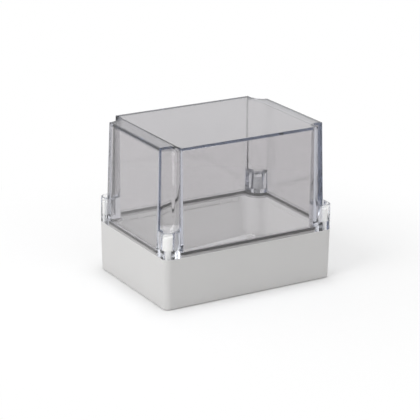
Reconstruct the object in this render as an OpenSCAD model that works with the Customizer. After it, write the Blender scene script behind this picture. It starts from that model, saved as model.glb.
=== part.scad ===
// Hinged polycarbonate enclosure: a moulded base, a tall clear lid on two rear hinges and four
// quarter-turn lid screws. The origin is at the centre of the underside, with the long sides
// along X, the front at -Y and Z up.

/* [Body] */
// Length of the enclosure, along its long sides
body_l = 180; // [160:1:260]
// Depth of the enclosure, from front to back
body_w = 130; // [120:1:200]
// Height of the base, up to the joint
base_h = 48.5; // [40:0.5:80]
// Height of the lid above the joint
lid_h = 101.3; // [60:0.1:160]
// Radius of the vertical corners
corner_r = 6.5; // [6:0.25:8]
// Running gap between the base and the closed lid
seam = 0.2; // [0.1:0.05:0.3]

/* [Base] */
// Thickness of the base's walls
base_wall = 3.9; // [3.5:0.1:4.4]
// Thickness of the base's floor
floor_t = 3.5; // [3:0.25:5]
// How far each outside face of the base leans in, from the joint to the underside
base_draft = 0.8; // [0.2:0.1:1.2]
// Radius of the rounded edge round the underside
base_edge_r = 1.5; // [1:0.25:2.5]
// Radius of the hollow fillet between a corner column and the wall beside it
column_fillet = 8; // [5:0.5:9]
// Radius of the rounded edge round the inside of the floor
floor_edge_r = 1.2; // [0.5:0.1:1.6]
// Height of the shallow recess under the rim, inside each wall
rim_recess_h = 4.3; // [3:0.1:6]
// Depth of the shallow recess under the rim
rim_recess_t = 0.7; // [0.4:0.1:0.8]
// Radius of the recess's lower corners
recess_end_r = 2.5; // [1:0.25:3]

/* [Lid] */
// Thickness of the lid's walls and top
lid_wall = 3; // [2.5:0.1:3.5]
// Distance that the lid's walls stand in from the flange and the towers
wall_step = 0.85; // [0.4:0.05:1]
// How far each outside face of the lid leans in, from the joint to the top
lid_draft = 2.85; // [1:0.05:3.5]
// How far each outside face of the towers leans in, from the joint to their tops
tower_draft = 0.3; // [0.1:0.05:0.5]
// Radius of the rounded edges round the top and the towers
lid_edge_r = 0.5; // [0.4:0.1:1]
// Radius of the rounded edge round the inside of the top
ceiling_edge_r = 0.4; // [0.2:0.1:1]
// Radius of the hollow fillets inside the lid, between each corner column and the walls
lid_fillet = 1; // [0.5:0.25:1.5]
// Drop of the top's end strips, at the short edges
end_drop = 1.8; // [0.5:0.1:2.5]
// Height of the thick flange that holds the gasket
flange_h = 5.8; // [5.6:0.1:9]
// Width of the flange, from the outside face
flange_t = 4.4; // [4.2:0.1:4.8]
// Height of the four corner towers above the joint
tower_h = 24.5; // [22:0.5:32]

/* [Corners and screws] */
// Distance of the screws' axes from the two outside faces
screw_inset = 7; // [6.75:0.05:8]
// Radius of the upright scallop over each tower, halfway up
scallop_r = 10.4; // [9.5:0.05:11]
// Growth of the scallop's radius, from halfway up to the top
scallop_draft = 0.4; // [0.1:0.05:0.6]
// Radius of a screw's barrel
barrel_r = 5; // [4.5:0.05:5.2]
// Height of a screw's barrel
barrel_h = 12.8; // [9:0.1:14]
// Width of the chamfered and rounded edges at a screw's two ends
screw_edge = 0.6; // [0.3:0.1:0.8]
// Radius of a screw's shank
shank_r = 2.4; // [2.1:0.05:2.6]
// Radial clearance of a screw in its tower
screw_gap = 0.3; // [0.2:0.05:0.35]
// Width of the driver slot
driver_slot_w = 1.6; // [1:0.1:2.5]
// Depth of the driver slot
driver_slot_t = 2.5; // [1.5:0.1:4]
// Radius of the cross pin
cross_pin_r = 1.25; // [1:0.05:1.4]
// Radial clearance of the cross pin in its shank
cross_pin_gap = 0.02; // [0.01:0.01:0.05]
// Length of the cross pin
cross_pin_l = 9.6; // [9:0.1:10]
// Thickness of the ledge that the cross pin locks under
ledge_t = 1.8; // [1.4:0.1:2.2]
// Play of the cross pin under its ledge and round its ends
pin_play = 0.6; // [0.3:0.1:0.8]
// Half of the width of the keyhole slot through the ledge
keyhole_r = 3.5; // [3.4:0.05:3.8]

/* [Seal] */
// Distance of the seal's centre line from the outside face
seal_inset = 2.4; // [2.3:0.05:2.6]
// Radius of the seal's centre line round each screw
seal_r = 10.4; // [10:0.1:11]
// Width of the gasket
gasket_w = 1.9; // [1.4:0.05:2]
// Height of the gasket
gasket_h = 3; // [2:0.1:3.5]
// Width of the tongue on the base
tongue_w = 1.4; // [1:0.1:1.5]
// Height of the tongue above the joint
tongue_h = 1.6; // [1.2:0.1:2]
// Outline radius of the seal's bends beside each screw, measured at the outside face
seal_bend_r = 5.5; // [5:0.1:7]
// Gap between the lip inside the tongue and the base's rim
lip_gap = 0.2; // [0.1:0.05:0.4]
// Gap between the tongue and the gasket while the lid screws are released
seal_gap = 0.3; // [0.2:0.05:0.4]
// Clearance between the gasket and each wall of its groove
groove_gap = 0.05; // [0.02:0.01:0.1]

/* [Hinges] */
// Distance of each hinge from the middle of the rear side
hinge_x = 52; // [30:1:60]
// Radius of the hinge knuckles
knuckle_r = 3; // [2.6:0.1:3.2]
// Width of the base's two knuckles on each hinge
base_knuckle_w = 6; // [4:0.5:10]
// Width of the lid's knuckle on each hinge
lid_knuckle_w = 8; // [5:0.5:14]
// Gap between neighbouring knuckles
knuckle_gap = 0.3; // [0.2:0.05:0.6]
// Height of the gusset that carries each base knuckle
gusset_h = 12; // [8:1:20]
// Radius of the hinge pins
pin_r = 1.25; // [1:0.05:1.5]
// Radial clearance of the hinge pins in their knuckles
pin_gap = 0.05; // [0.02:0.01:0.1]

/* [Mounting] */
// Radius of the wall-mounting holes under the corner columns
wall_hole_r = 2.2; // [1.8:0.1:2.8]
// Distance between the plate bosses along the long sides
boss_x = 134; // [60:1:140]
// Distance between the plate bosses along the short sides
boss_y = 84; // [40:1:90]
// Radius of the plate bosses
boss_r = 4; // [3.5:0.1:6]
// Height of the plate bosses above the floor
boss_h = 5; // [3:0.5:8]
// Radius of the holes in the plate bosses
boss_hole_r = 1.6; // [1.2:0.1:2]

/* [Hidden] */
$fn = 72;
// Flats that round an outer edge
edge_steps = 6;
// Overlap that lets a cut run out through a face
cut = 1;
// Hair's breadth by which a fillet runs into the faces that it joins, so that they cross cleanly
blend = 0.0005;
// Screw axes: half of their spacing along X and Y
screw_x = body_l / 2 - screw_inset;
screw_y = body_w / 2 - screw_inset;
bore_r = barrel_r + screw_gap;
// Underside of a screw's barrel, above the joint, where it rests in its tower
barrel_z = 7.7;
// The cross pin lies just under the ledge, and turns in a pocket of its own
cross_pin_z = base_h - ledge_t - cross_pin_r - pin_play / 4;
shank_end_z = cross_pin_z - cross_pin_r - pin_play;
pocket_r = cross_pin_l / 2 + pin_play;
pocket_z = shank_end_z - pin_play;
// Radius of the base's corner columns
base_column_r = seal_r + base_wall - seal_inset;
// Wells in the corner columns that reach down to the wall-mounting holes, wide enough for the
// heads of their screws
well_r = 1.9 * wall_hole_r;
well_floor = floor_t + 0.5;
// Floor left under the blind holes of the plate bosses
boss_hole_z = floor_t / 2;
groove_w = gasket_w + 2 * groove_gap;
groove_h = tongue_h + seal_gap + gasket_h;
// Width of the sloping end strips, out to the scallops' inner ends
scallop_end = screw_inset + scallop_r + scallop_draft;
hinge_y = body_w / 2 + knuckle_r + knuckle_gap;
hinge_w = 2 * base_knuckle_w + lid_knuckle_w + 2 * knuckle_gap;

// Half of an upright section that is widest at the joint and leans in over its height, with its
// far edge rounded by an arc that touches both faces
module half_section(reach, height, draft, edge_r) {
    lean = atan(draft / height);
    centre = [reach - draft * (height - edge_r) / height - edge_r / cos(lean), height - edge_r];
    polygon([
        [0, 0], [reach, 0],
        for (i = [0:edge_steps]) let (a = lean + (90 - lean) * i / edge_steps)
            centre + edge_r * [cos(a), sin(a)],
        [0, height]
    ]);
}

module whole_section(reach, height, draft, edge_r) {
    half_section(reach, height, draft, edge_r);
    mirror([1, 0]) half_section(reach, height, draft, edge_r);
}

// Upright block standing on its wide end, with leaning faces, round corners and a rounded top edge
module drafted_block(l, w, height, draft, r, edge_r) {
    rotate([90, 0, 0]) linear_extrude(w - 2 * r, center = true)
        whole_section(l / 2, height, draft, edge_r);
    rotate([90, 0, 90]) linear_extrude(l - 2 * r, center = true)
        whole_section(w / 2, height, draft, edge_r);
    for (x = [0, 1], y = [0, 1])
        mirror([x, 0, 0]) mirror([0, y, 0]) translate([l / 2 - r, w / 2 - r, 0])
            rotate_extrude(angle = 90) half_section(r, height, draft, edge_r);
}

// Puts its children on the four screw axes, turned so that the corner is always at +X +Y
module at_screws() {
    for (x = [0, 1], y = [0, 1])
        mirror([x, 0, 0]) mirror([0, y, 0]) translate([screw_x, screw_y, 0]) children();
}

// Plan of a corner column round a screw axis at the origin, between two walls that lie d from the
// axis, with a hollow fillet against each wall
module column_plan(r, d, fillet) {
    centre_y = d - fillet + blend;
    centre = [-sqrt(pow(r + fillet - blend, 2) - pow(centre_y, 2)), centre_y];
    circle(r);
    square(d + cut);
    for (side = [0, 1])
        mirror([side, -side]) difference() {
            polygon([centre, [centre.x, d + cut], [0, d + cut], [0, 0]]);
            translate(centre) circle(fillet);
        }
}

// Plan of the space inside the seal's path at one distance from the outside face
module rim_plan(inset, fillet) {
    difference() {
        square([body_l - 2 * inset, body_w - 2 * inset], center = true);
        at_screws() column_plan(seal_r + inset - seal_inset, screw_inset - inset, fillet);
    }
}

// Ring that follows the seal's centre line
module rim_ring(width, height) {
    outer = seal_inset - width / 2;
    inner = seal_inset + width / 2;
    linear_extrude(height) difference() {
        rim_plan(outer, seal_bend_r - outer);
        rim_plan(inner, seal_bend_r - inner);
    }
}

module knuckle(width) {
    rotate([0, 90, 0]) cylinder(r = knuckle_r, h = width, center = true);
}

// Bores of the two hinges, through every knuckle
module hinge_bores() {
    for (x = [-hinge_x, hinge_x])
        translate([x, hinge_y, base_h]) rotate([0, 90, 0])
            cylinder(r = pin_r + pin_gap, h = hinge_w + 2 * cut, center = true);
}

// Outer pair of knuckles of one hinge, each on a gusset that runs down to the wall
module base_knuckles() {
    for (side = [-1, 1])
        translate([side * (hinge_w - base_knuckle_w) / 2, 0, 0]) {
            translate([0, hinge_y, base_h]) knuckle(base_knuckle_w);
            rotate([90, 0, 90]) linear_extrude(base_knuckle_w, center = true)
                polygon([
                    [body_w / 2 - base_wall, base_h], [hinge_y, base_h],
                    [hinge_y + knuckle_r, base_h], [hinge_y + knuckle_r * 0.7, base_h - knuckle_r],
                    [body_w / 2 - base_draft, base_h - gusset_h], [body_w / 2 - base_wall, base_h - gusset_h]
                ]);
        }
}

module base() {
    inner_l = body_l - 2 * base_wall;
    inner_w = body_w - 2 * base_wall;
    recess = base_wall - rim_recess_t;
    band_x = screw_x - sqrt(pow(base_column_r + column_fillet, 2)
        - pow(screw_inset - base_wall - column_fillet, 2));
    band_y = band_x - (body_l - body_w) / 2;
    color("gainsboro") difference() {
        union() {
            difference() {
                translate([0, 0, base_h]) mirror([0, 0, 1])
                    drafted_block(body_l, body_w, base_h, base_draft, corner_r, base_edge_r);
                difference() {
                    translate([0, 0, base_h + cut]) mirror([0, 0, 1])
                        drafted_block(inner_l, inner_w, base_h + cut - floor_t, base_draft,
                            corner_r / 2, floor_edge_r);
                    at_screws() linear_extrude(base_h + 2 * cut)
                        column_plan(base_column_r, screw_inset - base_wall, column_fillet);
                    for (x = [-1, 1], y = [-1, 1])
                        translate([x * boss_x / 2, y * boss_y / 2, 0])
                            cylinder(r = boss_r, h = floor_t + boss_h);
                }
                rim_recess(band_x, recess, body_w);
                rotate([0, 0, 90]) rim_recess(band_y, recess, body_l);
            }
            translate([0, 0, base_h - cut]) rim_ring(tongue_w, tongue_h + cut);
            for (x = [-hinge_x, hinge_x]) translate([x, 0, 0]) base_knuckles();
        }
        // Wells down to the wall-mounting holes, under keyhole slots in the ledges
        at_screws() {
            rotate_extrude() polygon([
                [0, -cut], [wall_hole_r, -cut], [wall_hole_r, well_floor], [well_r, well_floor],
                [well_r, pocket_z], [pocket_r, pocket_z], [pocket_r, base_h - ledge_t],
                [0, base_h - ledge_t]
            ]);
            translate([0, 0, base_h - ledge_t - cut]) linear_extrude(ledge_t + 2 * cut)
                intersection() {
                    circle(pocket_r - 0.1);
                    square([2 * pocket_r, 2 * keyhole_r], center = true);
                }
        }
        for (x = [-1, 1], y = [-1, 1])
            translate([x * boss_x / 2, y * boss_y / 2, boss_hole_z])
                cylinder(r = boss_hole_r, h = boss_h + floor_t);
        hinge_bores();
        // Room for the lid's knuckles
        for (x = [-hinge_x, hinge_x]) translate([x, hinge_y, base_h])
            rotate([0, 90, 0]) cylinder(r = knuckle_r + knuckle_gap,
                h = lid_knuckle_w + 2 * knuckle_gap, center = true);
    }
}

// Shallow recess under the rim along one pair of walls, with round lower ends
module rim_recess(half_l, inset, across) {
    end_r = recess_end_r;
    for (side = [0, 1])
        mirror([0, side, 0]) translate([0, across / 2 - inset, 0]) rotate([90, 0, 0])
            linear_extrude(cut + rim_recess_t) {
                translate([-half_l, base_h - rim_recess_h + end_r])
                    square([2 * half_l, rim_recess_h - end_r + cut]);
                translate([end_r - half_l, base_h - rim_recess_h])
                    square([2 * (half_l - end_r), rim_recess_h]);
                for (x = [-1, 1]) translate([x * (half_l - end_r), base_h - rim_recess_h + end_r])
                    circle(end_r);
            }
}

// The lid is drawn standing on the joint, at Z = 0
module lid_hollow() {
    inset = wall_step + lid_wall;
    difference() {
        translate([0, 0, -cut]) drafted_block(body_l - 2 * inset, body_w - 2 * inset,
            lid_h - lid_wall + cut, lid_draft, corner_r / 2, ceiling_edge_r);
        translate([0, 0, -2 * cut]) at_screws() linear_extrude(lid_h + 2 * cut)
            column_plan(scallop_r + lid_wall, screw_inset - inset, lid_fillet);
        // Flange round the rim
        translate([0, 0, -2 * cut]) linear_extrude(flange_h + 2 * cut) difference() {
            square([body_l, body_w], center = true);
            rim_plan(flange_t, seal_bend_r - flange_t);
        }
    }
}

// Slopes of the top's two end strips
module end_slopes() {
    strip = scallop_end;
    for (side = [0, 1])
        mirror([side, 0, 0]) rotate([90, 0, 0]) linear_extrude(body_w + 2 * cut, center = true)
            polygon([
                [body_l / 2 - strip, lid_h], [body_l / 2 + cut, lid_h - end_drop * (strip + cut) / strip],
                [body_l / 2 + cut, lid_h + cut], [body_l / 2 - strip, lid_h + cut]
            ]);
}

// Flange round the rim and the four towers, a small step outside the walls
module lid_skirt() {
    intersection() {
        drafted_block(body_l, body_w, tower_h, tower_draft, corner_r, lid_edge_r);
        union() {
            translate([0, 0, flange_h / 2])
                cube([body_l + 2 * cut, body_w + 2 * cut, flange_h], center = true);
            at_screws() cylinder(r = scallop_r, h = tower_h + cut);
        }
    }
}

module lid_body() {
    difference() {
        union() {
            lid_skirt();
            difference() {
                drafted_block(body_l - 2 * wall_step, body_w - 2 * wall_step, lid_h, lid_draft,
                    corner_r - wall_step, lid_edge_r);
                end_slopes();
                at_screws() translate([0, 0, tower_h])
                    cylinder(r1 = scallop_r - scallop_draft, r2 = scallop_r + scallop_draft,
                        h = lid_h - tower_h);
            }
        }
        at_screws() {
            translate([0, 0, barrel_z]) cylinder(r = bore_r, h = lid_h);
            translate([0, 0, -cut]) cylinder(r = shank_r + screw_gap, h = barrel_z + 2 * cut);
        }
        difference() {
            lid_hollow();
            end_shelves();
        }
        translate([0, 0, -cut]) rim_ring(groove_w, groove_h + cut);
        // The lip inside the tongue stops a little above the base's rim
        translate([0, 0, -cut]) linear_extrude(cut + lip_gap) rim_plan(seal_inset, seal_bend_r - seal_inset);
    }
}

// Thickness kept under the sloping end strips
module end_shelves() {
    for (side = [0, 1])
        mirror([side, 0, 0]) rotate([90, 0, 0]) linear_extrude(body_w, center = true)
            polygon([
                [body_l / 2 - scallop_end, lid_h - lid_wall],
                [body_l / 2, lid_h - lid_wall - end_drop],
                [body_l / 2, lid_h]
            ]);
}

module lid() {
    color("aliceblue", 0.35) difference() {
        union() {
            translate([0, 0, base_h + seam]) lid_body();
            for (x = [-hinge_x, hinge_x]) translate([x, 0, 0]) {
                translate([0, hinge_y, base_h]) knuckle(lid_knuckle_w);
                translate([-lid_knuckle_w / 2, body_w / 2 - 1, base_h + seam])
                    cube([lid_knuckle_w, hinge_y - body_w / 2 + 1, knuckle_r - seam]);
            }
        }
        hinge_bores();
    }
}

module gasket() {
    color("dimgray") translate([0, 0, base_h + seam + groove_h - gasket_h]) rim_ring(gasket_w, gasket_h);
}

// Barrel and shank in one turned profile, with a driver slot and a hole for the cross pin
module lid_screw() {
    foot = base_h + seam + barrel_z;
    edge = screw_edge;
    color("whitesmoke") difference() {
        rotate_extrude() {
            translate([0, foot]) square([barrel_r, barrel_h - edge]);
            translate([0, foot]) square([barrel_r - edge, barrel_h]);
            translate([barrel_r - edge, foot + barrel_h - edge]) circle(edge);
            polygon([
                [0, shank_end_z], [shank_r - edge, shank_end_z], [shank_r, shank_end_z + edge],
                [shank_r, foot], [0, foot]
            ]);
        }
        translate([-barrel_r - cut, -driver_slot_w / 2, foot + barrel_h - driver_slot_t])
            cube([2 * (barrel_r + cut), driver_slot_w, driver_slot_t + cut]);
        translate([0, 0, cross_pin_z]) rotate([0, 90, 0])
            cylinder(r = cross_pin_r + cross_pin_gap, h = 4 * shank_r, center = true);
    }
}

module cross_pin() {
    color("silver") translate([0, 0, cross_pin_z]) rotate([0, 90, 0])
        cylinder(r = cross_pin_r, h = cross_pin_l, center = true);
}

module hinge_pin(side) {
    color("silver") translate([side * hinge_x, hinge_y, base_h]) rotate([0, 90, 0])
        cylinder(r = pin_r, h = hinge_w, center = true);
}

base();
lid();
gasket();
translate([-screw_x, -screw_y, 0]) lid_screw();  // lid_screw_front_left
translate([screw_x, -screw_y, 0]) lid_screw();  // lid_screw_front_right
translate([-screw_x, screw_y, 0]) lid_screw();  // lid_screw_rear_left
translate([screw_x, screw_y, 0]) lid_screw();  // lid_screw_rear_right
translate([-screw_x, -screw_y, 0]) cross_pin();  // cross_pin_front_left
translate([screw_x, -screw_y, 0]) cross_pin();  // cross_pin_front_right
translate([-screw_x, screw_y, 0]) cross_pin();  // cross_pin_rear_left
translate([screw_x, screw_y, 0]) cross_pin();  // cross_pin_rear_right
hinge_pin(-1);  // hinge_pin_left
hinge_pin(1);  // hinge_pin_right
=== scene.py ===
"""Hinged polycarbonate enclosure: grey base, tall clear lid, gasket, four lid screws, two hinges."""

import bmesh
import bpy
import numpy as np
from math import atan2, cos, radians, sin
from mathutils import Matrix, Vector


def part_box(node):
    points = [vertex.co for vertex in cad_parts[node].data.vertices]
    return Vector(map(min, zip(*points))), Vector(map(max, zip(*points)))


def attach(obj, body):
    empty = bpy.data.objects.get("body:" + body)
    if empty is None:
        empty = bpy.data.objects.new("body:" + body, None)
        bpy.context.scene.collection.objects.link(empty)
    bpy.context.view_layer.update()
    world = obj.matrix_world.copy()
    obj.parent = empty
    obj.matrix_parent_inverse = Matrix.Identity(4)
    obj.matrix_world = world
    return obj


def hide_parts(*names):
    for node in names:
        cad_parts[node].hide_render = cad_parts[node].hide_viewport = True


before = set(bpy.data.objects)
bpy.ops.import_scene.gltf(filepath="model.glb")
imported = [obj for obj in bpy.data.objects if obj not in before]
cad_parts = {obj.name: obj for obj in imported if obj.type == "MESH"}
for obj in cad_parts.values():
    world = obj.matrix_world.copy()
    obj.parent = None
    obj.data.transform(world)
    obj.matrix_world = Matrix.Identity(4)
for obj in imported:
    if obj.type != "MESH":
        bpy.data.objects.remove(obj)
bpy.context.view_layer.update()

# ---------------------------------------------------------------- studio
# The enclosure stands on a pale sweep, under a soft sky and three large soft lamps, the brightest
# one over it. The camera looks at its front left corner from a little above the lid's screws.
azimuth, elevation, roll = radians(-30.09), radians(19.16), radians(0.36)
back = Vector((sin(azimuth) * cos(elevation), -cos(azimuth) * cos(elevation), sin(elevation)))
right = Vector((cos(azimuth), sin(azimuth), 0))
up = back.cross(right)
eye = right * -0.02189 + Vector((0, 0, 0.05506)) + back * 1.66558
across = right * cos(roll) + up * sin(roll)
upward = up * cos(roll) - right * sin(roll)
camera = bpy.data.objects.new("camera", bpy.data.cameras.new("camera"))
camera.matrix_world = Matrix((across, upward, back)).transposed().to_4x4()
camera.location = eye
# The lens is worked out for a view 420 wide and a sensor of 36 mm.
camera.data.lens = 36 * 1763.1 / 420
camera.data.shift_x = 0.0435
camera.data.shift_y = 0.0178
camera.data.clip_end = 30
bpy.context.scene.collection.objects.link(camera)
bpy.context.scene.camera = camera
bpy.context.scene.view_settings.view_transform = "Standard"


def worked(nodes, wires, operation, *values):
    """One Math node: its inputs are sockets or plain numbers, and it returns its output."""
    node = nodes.new("ShaderNodeMath")
    node.operation = operation
    for slot, value in enumerate(values):
        if isinstance(value, (int, float)):
            node.inputs[slot].default_value = value
        else:
            wires.new(value, node.inputs[slot])
    return node.outputs[0]


def background_ray(nodes, wires):
    """1 on rays that show the background, straight, mirrored or through the lid, and 0 on the rays
    that only carry light."""
    path = nodes.new("ShaderNodeLightPath")
    mirrored = worked(nodes, wires, "MAXIMUM", path.outputs["Is Glossy Ray"], path.outputs["Is Transmission Ray"])
    return worked(nodes, wires, "MAXIMUM", path.outputs["Is Camera Ray"], mirrored)


def step_mask(nodes, wires, value, low, high):
    """A soft step: 0 where value is under low, 1 where it is over high."""
    step = nodes.new("ShaderNodeMapRange")
    step.interpolation_type = "SMOOTHSTEP"
    step.inputs["From Min"].default_value = low
    step.inputs["From Max"].default_value = high
    wires.new(value, step.inputs["Value"])
    return step.outputs["Result"]


sky_light, sky_seen = 0.5, 1.0
world = bpy.data.worlds.new("sky")
bpy.context.scene.world = world
world.use_nodes = True
nodes, wires = world.node_tree.nodes, world.node_tree.links
level = nodes.new("ShaderNodeMix")
level.data_type = "FLOAT"
level.inputs["A"].default_value = sky_light
level.inputs["B"].default_value = sky_seen
wires.new(background_ray(nodes, wires), level.inputs["Factor"])
wires.new(level.outputs["Result"], nodes["Background"].inputs["Strength"])
nodes["Background"].inputs["Color"].default_value = (1, 1, 1, 1)


def soft_lamp(name, place, size, watts):
    """A square area lamp at place that faces the middle of the enclosure's lower half."""
    lamp = bpy.data.objects.new(name, bpy.data.lights.new(name, "AREA"))
    lamp.data.shape = "SQUARE"
    lamp.data.size = size
    lamp.data.energy = watts
    lamp.location = place
    lamp.rotation_euler = (Vector((0, 0, 0.05)) - Vector(place)).to_track_quat("-Z", "Y").to_euler()
    bpy.context.scene.collection.objects.link(lamp)


soft_lamp("lamp_left", (-1.5, -0.25, 0.75), 1.0, 12)
soft_lamp("lamp_front", (0.5, -1.8, 1.1), 1.0, 3)
soft_lamp("lamp_top", (0.1, 0.1, 1.9), 1.2, 19)


def sheet_object(name, points, faces):
    """A mesh object from an array of points and an array of equal-sided faces."""
    mesh = bpy.data.meshes.new(name)
    mesh.from_pydata(points.tolist(), [], faces.tolist())
    mesh.update()
    thing = bpy.data.objects.new(name, mesh)
    bpy.context.scene.collection.objects.link(thing)
    return thing


def grid_faces(rows, columns, ring_rows=False):
    """Quads of a grid stored row by row, whose last column joins its first. With ring_rows the last
    row joins the first too, which closes the grid to a ring."""
    i, j = np.meshgrid(np.arange(rows if ring_rows else rows - 1), np.arange(columns), indexing="ij")
    below, beside = (i + 1) % rows, (j + 1) % columns
    quads = i * columns + j, i * columns + beside, below * columns + beside, below * columns + j
    return np.stack(quads, -1).reshape(-1, 4)


# A disc in polar form: the radius grows with the square of one parameter, and the other is the angle.
floor_radius, floor_drop, spokes = 8, 0.0002, 64
reach = np.r_[0.001, np.linspace(0.05, 1, 20) ** 2 * floor_radius]
reach, turn = np.meshgrid(reach, np.linspace(0, 2 * np.pi, spokes, endpoint=False), indexing="ij")
points = np.stack((reach * np.cos(turn), reach * np.sin(turn), 0 * reach - floor_drop), -1)
floor = sheet_object("floor", points.reshape(-1, 3), grid_faces(len(reach), spokes))
sweep = bpy.data.materials.new("pale_sweep")
sweep.use_nodes = True
nodes, wires = sweep.node_tree.nodes, sweep.node_tree.links
nodes.clear()
output = nodes.new("ShaderNodeOutputMaterial")
matte = nodes.new("ShaderNodeBsdfDiffuse")
matte.inputs["Color"].default_value = (0.85, 0.85, 0.85, 1)
bright = nodes.new("ShaderNodeEmission")
blend = nodes.new("ShaderNodeMixShader")
# Round the enclosure the floor keeps its shadow. Further out it fades into the white background.
place = nodes.new("ShaderNodeTexCoord")
spread = nodes.new("ShaderNodeVectorMath")
spread.operation = "LENGTH"
wires.new(place.outputs["Object"], spread.inputs[0])
fade = step_mask(nodes, wires, spread.outputs["Value"], 0.12, 0.34)
wires.new(worked(nodes, wires, "MULTIPLY", background_ray(nodes, wires), fade), blend.inputs["Fac"])
wires.new(matte.outputs[0], blend.inputs[1])
wires.new(bright.outputs[0], blend.inputs[2])
wires.new(blend.outputs[0], output.inputs["Surface"])
floor.data.materials.append(sweep)


# ---------------------------------------------------------------- base
# The base is one deep tray moulded in light grey polycarbonate. Its hollow corner columns carry the
# ledges that the lid screws lock under, and a thin tongue runs all round its rim.
def moulded(name, node, body, material, edge_radius=0):
    """A copy of a CAD solid with its doubles merged, flat faces kept flat, and crisp edges rounded
    by edge_radius where that isn't 0."""
    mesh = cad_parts[node].data.copy()
    mesh.name = name
    shape = bmesh.new()
    shape.from_mesh(mesh)
    bmesh.ops.remove_doubles(shape, verts=shape.verts, dist=1e-6)
    shape.to_mesh(mesh)
    shape.free()
    mesh.materials.clear()
    mesh.materials.append(material)
    thing = bpy.data.objects.new(name, mesh)
    bpy.context.scene.collection.objects.link(thing)
    mesh.shade_smooth()
    crisp = radians(40 if edge_radius else 18)
    mesh.set_sharp_from_angle(angle=crisp)
    if edge_radius:
        bevel = thing.modifiers.new("rounded_edges", "BEVEL")
        bevel.width = edge_radius
        bevel.segments = 2
        bevel.limit_method = "ANGLE"
        bevel.angle_limit = crisp
        bevel.use_clamp_overlap = False
    flats = thing.modifiers.new("flat_faces_stay_flat", "WEIGHTED_NORMAL")
    flats.weight = 100
    flats.keep_sharp = True
    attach(thing, body)
    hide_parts(node)


def grain_group():
    """A shader group for moulded and turned surfaces, on Object coordinates. Fine noise gives the
    height and moves the roughness up and down by the roughness range. Slow noise lightens and
    darkens the colour by the tone."""
    group = bpy.data.node_groups.new("surface_grain", "ShaderNodeTree")
    for name in ("Color", "Tone", "Grain Scale", "Roughness", "Roughness Range"):
        kind = "NodeSocketColor" if name == "Color" else "NodeSocketFloat"
        group.interface.new_socket(name, in_out="INPUT", socket_type=kind)
    for name in ("Color", "Roughness", "Height"):
        kind = "NodeSocketColor" if name == "Color" else "NodeSocketFloat"
        group.interface.new_socket(name, in_out="OUTPUT", socket_type=kind)
    nodes, wires = group.nodes, group.links
    given, out = nodes.new("NodeGroupInput").outputs, nodes.new("NodeGroupOutput").inputs
    place = nodes.new("ShaderNodeTexCoord")
    fine, slow = nodes.new("ShaderNodeTexNoise"), nodes.new("ShaderNodeTexNoise")
    fine.inputs["Detail"].default_value = 4
    slow.inputs["Detail"].default_value = 3
    slow.inputs["Scale"].default_value = 22
    for noise in (fine, slow):
        wires.new(place.outputs["Object"], noise.inputs["Vector"])
    wires.new(given["Grain Scale"], fine.inputs["Scale"])
    wires.new(fine.outputs["Fac"], out["Height"])
    lighter = worked(nodes, wires, "SUBTRACT", slow.outputs["Fac"], 0.5)
    lighter = worked(nodes, wires, "MULTIPLY_ADD", lighter, given["Tone"], 1.0)
    rougher = worked(nodes, wires, "SUBTRACT", fine.outputs["Fac"], 0.5)
    rougher = worked(nodes, wires, "MULTIPLY_ADD", rougher, given["Roughness Range"], given["Roughness"])
    wires.new(rougher, out["Roughness"])
    tint = nodes.new("ShaderNodeVectorMath")
    tint.operation = "SCALE"
    wires.new(given["Color"], tint.inputs[0])
    wires.new(lighter, tint.inputs["Scale"])
    wires.new(tint.outputs[0], out["Color"])
    return group


surface_grain = grain_group()


def grained(name, color, tone, grain_scale, roughness, roughness_range, depth, metallic=0.0):
    """A material whose colour, roughness and bump come from the grain group. Depth is in metres."""
    material = bpy.data.materials.new(name)
    material.use_nodes = True
    nodes, wires = material.node_tree.nodes, material.node_tree.links
    shader = nodes["Principled BSDF"]
    grain = nodes.new("ShaderNodeGroup")
    grain.node_tree = surface_grain
    grain.name = "grain"
    for socket, value in (("Color", (*color, 1)), ("Tone", tone), ("Grain Scale", grain_scale),
                          ("Roughness", roughness), ("Roughness Range", roughness_range)):
        grain.inputs[socket].default_value = value
    bump = nodes.new("ShaderNodeBump")
    bump.inputs["Strength"].default_value = 0.5
    bump.inputs["Distance"].default_value = depth
    wires.new(grain.outputs["Color"], shader.inputs["Base Color"])
    wires.new(grain.outputs["Roughness"], shader.inputs["Roughness"])
    wires.new(grain.outputs["Height"], bump.inputs["Height"])
    wires.new(bump.outputs["Normal"], shader.inputs["Normal"])
    shader.inputs["Metallic"].default_value = metallic
    return material


def sides(nodes, wires):
    """Object coordinates as sockets: distance from the middle along X and along Y, and the height."""
    place, parts = nodes.new("ShaderNodeTexCoord"), nodes.new("ShaderNodeSeparateXYZ")
    wires.new(place.outputs["Object"], parts.inputs[0])
    return (worked(nodes, wires, "ABSOLUTE", parts.outputs["X"]),
            worked(nodes, wires, "ABSOLUTE", parts.outputs["Y"]), parts.outputs["Z"])


def tinted(nodes, wires, mask, plain, masked):
    """Goes from the colour plain, a colour or a socket, to the colour masked as mask goes to 1."""
    tone = nodes.new("ShaderNodeMix")
    tone.data_type = "RGBA"
    if isinstance(plain, tuple):
        tone.inputs["A"].default_value = (*plain, 1)
    else:
        wires.new(plain, tone.inputs["A"])
    tone.inputs["B"].default_value = (*masked, 1)
    wires.new(mask, tone.inputs["Factor"])
    return tone.outputs["Result"]


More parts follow.
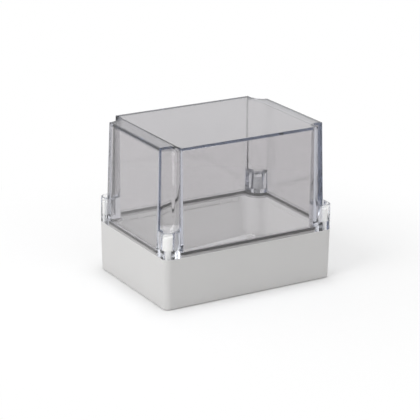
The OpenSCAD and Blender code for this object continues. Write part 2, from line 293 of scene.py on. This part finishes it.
# The outside has a satin finish and the inside is polished. The inside also takes a lighter grey,
# which is painted light: the same plastic, lightened to stand in for the light inside the tray. A wall
# changes from one to the other half-way through its thickness, and the floor near its underside.
satin_grey, painted_light_inside_grey = (0.57, 0.565, 0.56), (0.83, 0.825, 0.82)
base_low, base_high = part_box("base")
half_length, half_depth = base_high[0], -base_low[1]
grey_plastic = grained("light_grey_polycarbonate", satin_grey, 0.05, 2600, 0.42, 0.12, 0.00002)
nodes, wires = grey_plastic.node_tree.nodes, grey_plastic.node_tree.links
out_x, out_y, tall = sides(nodes, wires)
outer = worked(nodes, wires, "MAXIMUM",
               step_mask(nodes, wires, out_x, half_length - 0.0032, half_length - 0.0024),
               step_mask(nodes, wires, out_y, half_depth - 0.0032, half_depth - 0.0024))
under = worked(nodes, wires, "SUBTRACT", 1.0, step_mask(nodes, wires, tall, 0.0012, 0.0022))
outer = worked(nodes, wires, "MAXIMUM", outer, under)
grain = nodes["grain"]
# Painted light: the inside gets the lighter grey, and the outside keeps its own satin grey.
wires.new(tinted(nodes, wires, outer, painted_light_inside_grey, satin_grey), grain.inputs["Color"])
finish = nodes.new("ShaderNodeMapRange")
finish.inputs["To Min"].default_value = 0.24
finish.inputs["To Max"].default_value = 0.44
wires.new(outer, finish.inputs["Value"])
wires.new(finish.outputs["Result"], grain.inputs["Roughness"])
moulded("enclosure_base", "base", "base", grey_plastic, edge_radius=0.0003)

# ---------------------------------------------------------------- lid
# The lid is one tall clear polycarbonate moulding with a faint smoke tint. Its corners step in to
# scallops over the four towers, and the thick flange round its rim holds the gasket.
smoke, tower_painted_light_tint = (0.70, 0.685, 0.69), (0.97, 0.965, 0.96)
top_painted_shade, strip_painted_shade = (0.56, 0.55, 0.56), (0.46, 0.455, 0.47)
screw_low, screw_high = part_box("lid_screw_rear_right")
screw_x, screw_y = (screw_low[0] + screw_high[0]) / 2, (screw_low[1] + screw_high[1]) / 2
lid_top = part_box("lid")[1][2]
tower_top = 0.0732
clear = bpy.data.materials.new("clear_polycarbonate")
clear.use_nodes = True
nodes, wires = clear.node_tree.nodes, clear.node_tree.links
shader, output = nodes["Principled BSDF"], nodes["Material Output"]
shader.inputs["IOR"].default_value = 1.585
shader.inputs["Specular IOR Level"].default_value = 0.3
shader.inputs["Transmission Weight"].default_value = 1.0
out_x, out_y, tall = sides(nodes, wires)
# Painted light: close to a screw's axis and below the tower tops the tint is taken out, so the screws, seen
# through many faces of a tower, show lighter.
off_x = worked(nodes, wires, "POWER", worked(nodes, wires, "SUBTRACT", out_x, screw_x), 2.0)
off_y = worked(nodes, wires, "POWER", worked(nodes, wires, "SUBTRACT", out_y, screw_y), 2.0)
off_screw = worked(nodes, wires, "SQRT", worked(nodes, wires, "ADD", off_x, off_y))
near = worked(nodes, wires, "SUBTRACT", 1.0, step_mask(nodes, wires, off_screw, 0.0095, 0.0125))
low = worked(nodes, wires, "SUBTRACT", 1.0, step_mask(nodes, wires, tall, tower_top + 0.0003, tower_top + 0.0013))
# Painted shade: the top is tinted darker than the walls, and its sloping end strips darker again as a painted
# dark reflection.
high = step_mask(nodes, wires, tall, lid_top - 0.0032, lid_top - 0.0024)
strip = worked(nodes, wires, "MULTIPLY", step_mask(nodes, wires, out_x, 0.0715, 0.0727),
               step_mask(nodes, wires, tall, lid_top - 0.0055, lid_top - 0.0048))
color = tinted(nodes, wires, worked(nodes, wires, "MULTIPLY", near, low), smoke, tower_painted_light_tint)
color = tinted(nodes, wires, high, color, top_painted_shade)
wires.new(tinted(nodes, wires, strip, color, strip_painted_shade), shader.inputs["Base Color"])
# The polish varies a little from place to place.
place, polish = nodes.new("ShaderNodeTexCoord"), nodes.new("ShaderNodeTexNoise")
polish.inputs["Scale"].default_value = 60
wires.new(place.outputs["Object"], polish.inputs["Vector"])
gloss = nodes.new("ShaderNodeMapRange")
gloss.inputs["To Min"].default_value = 0.008
gloss.inputs["To Max"].default_value = 0.03
wires.new(polish.outputs["Fac"], gloss.inputs["Value"])
wires.new(gloss.outputs["Result"], shader.inputs["Roughness"])
# Rays that carry light pass straight through, so that it reaches the inside.
passing = nodes.new("ShaderNodeBsdfTransparent")
passing.inputs["Color"].default_value = (0.99, 0.99, 0.99, 1)
blend = nodes.new("ShaderNodeMixShader")
path = nodes.new("ShaderNodeLightPath")
lighting = worked(nodes, wires, "MAXIMUM", path.outputs["Is Shadow Ray"], path.outputs["Is Diffuse Ray"])
wires.new(lighting, blend.inputs["Fac"])
wires.new(shader.outputs[0], blend.inputs[1])
wires.new(passing.outputs[0], blend.inputs[2])
wires.new(blend.outputs[0], output.inputs["Surface"])
# A long way through the plastic, as along an edge, turns it blue-grey.
edge_tone = nodes.new("ShaderNodeVolumeAbsorption")
edge_tone.inputs["Color"].default_value = (0.3, 0.36, 0.5, 1)
edge_tone.inputs["Density"].default_value = 20
wires.new(edge_tone.outputs[0], output.inputs["Volume"])
moulded("clear_lid", "lid", "lid", clear)
# Light comes out of the thick clear corners only after many bounces.
cycles = bpy.context.scene.cycles
cycles.max_bounces = cycles.glossy_bounces = cycles.transmission_bounces = 40
cycles.transparent_max_bounces = 16

# ---------------------------------------------------------------- gasket
# One endless ring of black rubber, pressed into the groove under the lid. It follows the four
# straight sides and bends inwards round each lid screw, and its edges are round.
screw_inset, bend_outline, column_outline = 0.007, 0.0055, 0.008
centre_inset, half_width = 0.0024, 0.00095
gasket_low, gasket_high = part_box("gasket")


def seal_path(inset, bend_steps=14, column_steps=22):
    """Closed plan curve that lies inset from the outside faces: straight sides, a bend of radius
    bend_outline less inset beside each screw, and an arc of radius column_outline plus inset round
    the screw. The arcs touch, so their centres are both radii apart."""
    bend, column = bend_outline - inset, column_outline + inset
    aside = screw_inset - bend_outline
    centre = np.array((-(((bend_outline + column_outline) ** 2 - aside**2) ** 0.5), aside))
    tilt = atan2(aside, -centre[0])
    turn = np.linspace(0, np.pi / 2 + tilt, bend_steps)
    bend = centre[::-1] + bend * np.stack((np.cos(turn), np.sin(turn)), -1)
    turn = np.linspace(1.5 * np.pi + tilt, np.pi - tilt, column_steps)[1:-1]
    column = column * np.stack((np.cos(turn), np.sin(turn)), -1)
    corner = np.concatenate((bend, column, bend[::-1, ::-1])) + (screw_x, screw_y)
    half = np.concatenate((corner, corner[::-1] * (-1, 1)))
    return np.concatenate((half, -half))


def squared_round(turn):
    """Cosine and sine of turn, each drawn out towards 1 and -1 by a square root that keeps its
    sign, which makes a rounded square of the circle."""
    around = np.stack((np.cos(turn), np.sin(turn)))
    return np.sign(around) * abs(around) ** 0.5


# Each point of the section keeps its own inset and height, so its curve is the path at that inset.
out, lift = squared_round(np.linspace(0, 2 * np.pi, 24, endpoint=False))
mid_height, half_height = (gasket_low[2] + gasket_high[2]) / 2, (gasket_high[2] - gasket_low[2]) / 2
curves = np.stack([seal_path(inset) for inset in centre_inset + half_width * out])
heights = np.broadcast_to((mid_height + half_height * lift)[:, None, None], (*curves.shape[:2], 1))
points = np.concatenate((curves, heights), -1)[::-1]
gasket = sheet_object("rim_gasket", points.reshape(-1, 3), grid_faces(*curves.shape[:2], ring_rows=True))
gasket.data.materials.append(grained("seal_rubber", (0.012, 0.012, 0.014), 0.3, 3000, 0.65, 0.15, 0.00002))
gasket.data.shade_smooth()
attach(gasket, "lid")
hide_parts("gasket")

# ---------------------------------------------------------------- screws and pins
# The four lid screws are turned white plastic, each with a driver slot and a steel cross pin that
# locks under the base's ledge. Plain steel pins carry the two rear hinges.
white = grained("screw_plastic", (0.88, 0.88, 0.87), 0.04, 3200, 0.34, 0.1, 0.00001)
steel = grained("pin_steel", (0.62, 0.61, 0.6), 0.12, 4000, 0.28, 0.18, 0.000005, metallic=1.0)
for corner in ("front_left", "front_right", "rear_left", "rear_right"):
    moulded("screw_" + corner, "lid_screw_" + corner, "screw_" + corner, white)
    moulded("locking_pin_" + corner, "cross_pin_" + corner, "screw_" + corner, steel)
for side in ("left", "right"):
    moulded("hinge_axle_" + side, "hinge_pin_" + side, "base", steel)
